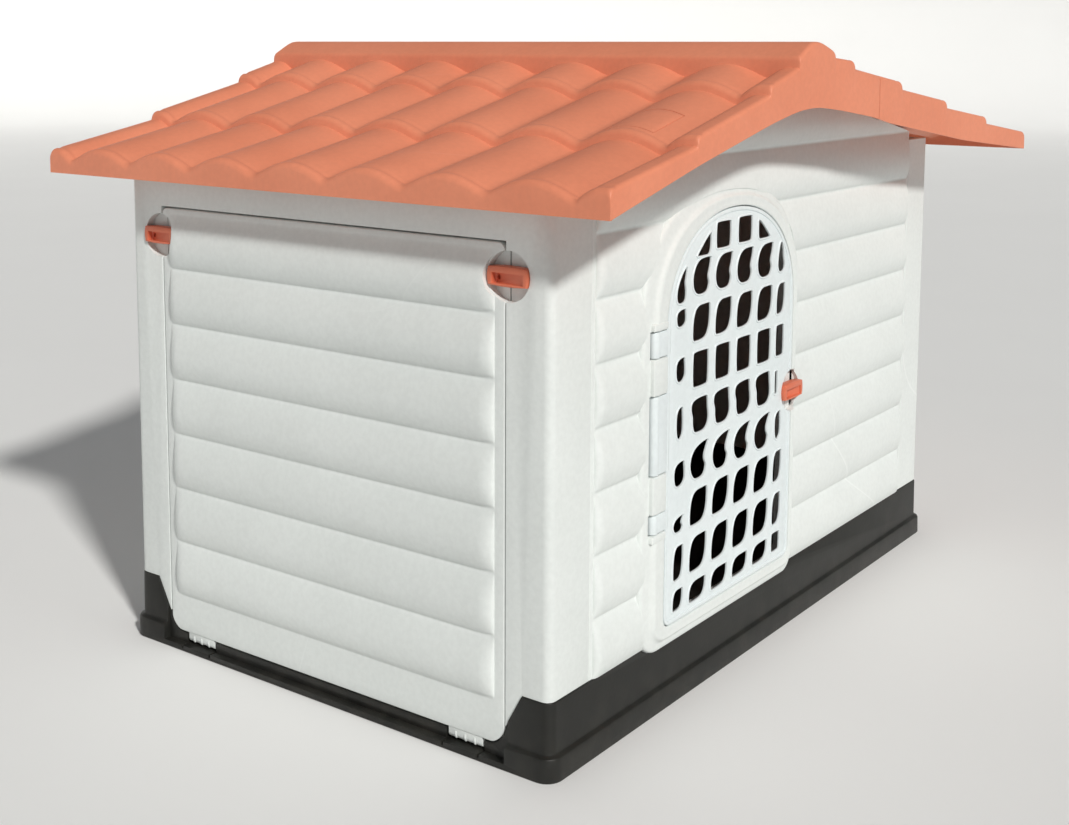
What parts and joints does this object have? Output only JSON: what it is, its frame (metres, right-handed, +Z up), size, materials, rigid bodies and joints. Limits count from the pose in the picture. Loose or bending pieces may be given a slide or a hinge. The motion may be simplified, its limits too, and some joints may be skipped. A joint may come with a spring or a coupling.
{
  "type": "plastic pet kennel",
  "caption": "Outdoor plastic kennel with lap-sided walls, tiled roof, an arched grille door in the gable and a fold-down side panel with turn latches.",
  "frame": {"origin": "on the ground under the middle of the whole object's box", "axes": "+Z up; the ridge runs along Y and the door gable faces -Y; the fold-down panel faces -X"},
  "size_m": [1.154, 0.816, 0.738],
  "materials": {
    "white_plastic": "satin moulded, fine grain",
    "grille_plastic": "satin moulded",
    "black_plastic": "satin moulded",
    "terracotta_plastic": "satin moulded",
    "zinc_steel": "zinc plated"
  },
  "bodies": {
    "housing": {"base_tray": "black_plastic", "gable_wall_front": "white_plastic", "gable_wall_rear": "white_plastic", "side_frame_left": "white_plastic", "side_wall_right": "white_plastic", "roof_shell_left": "terracotta_plastic", "roof_shell_right": "terracotta_plastic", "door_hinge_rod": "zinc_steel", "panel_hinge_pin_front": "zinc_steel", "panel_hinge_pin_rear": "zinc_steel", "corner_screw_1": "zinc_steel", "corner_screw_2": "zinc_steel", "corner_screw_3": "zinc_steel", "corner_screw_4": "zinc_steel", "corner_screw_5": "zinc_steel", "corner_screw_6": "zinc_steel", "corner_screw_7": "zinc_steel", "corner_screw_8": "zinc_steel"},
    "door": {"door_leaf": "grille_plastic"},
    "door_latch": {"door_latch_knob": "terracotta_plastic", "door_latch_washer": "zinc_steel", "door_latch_screw": "zinc_steel"},
    "panel": {"fold_down_panel": "white_plastic"},
    "panel_latch_front": {"panel_latch_front_knob": "terracotta_plastic", "panel_latch_front_washer": "zinc_steel", "panel_latch_front_screw": "zinc_steel"},
    "panel_latch_rear": {"panel_latch_rear_knob": "terracotta_plastic", "panel_latch_rear_washer": "zinc_steel", "panel_latch_rear_screw": "zinc_steel"},
    "vent_flap": {"roof_vent_flap": "terracotta_plastic"}
  },
  "joints": [
    {"name": "door_hinge", "type": "hinge", "parent": "housing", "child": "door", "pos_m": [-0.352, -0.319, 0.32], "axis": [0, 0, -1], "range_deg": [0, 120]},
    {"name": "door_latch_turn", "type": "hinge", "parent": "door", "child": "door_latch", "pos_m": [-0.0295, -0.318, 0.307], "axis": [0, -1, 0], "range_deg": [0, 90]},
    {"name": "panel_fold", "type": "hinge", "parent": "housing", "child": "panel", "pos_m": [-0.5255, 0, 0.015], "axis": [0, -1, 0], "range_deg": [0, 88]},
    {"name": "panel_latch_front_turn", "type": "hinge", "parent": "panel", "child": "panel_latch_front", "pos_m": [-0.525, -0.2607, 0.507], "axis": [-1, 0, 0], "range_deg": [0, 90]},
    {"name": "panel_latch_rear_turn", "type": "hinge", "parent": "panel", "child": "panel_latch_rear", "pos_m": [-0.525, 0.2607, 0.507], "axis": [-1, 0, 0], "range_deg": [0, 90]},
    {"name": "vent_flap_lift", "type": "hinge", "parent": "housing", "child": "vent_flap", "pos_m": [-0.344, -0.318, 0.668], "axis": [0, 1, 0], "range_deg": [0, 35]}
  ]
}
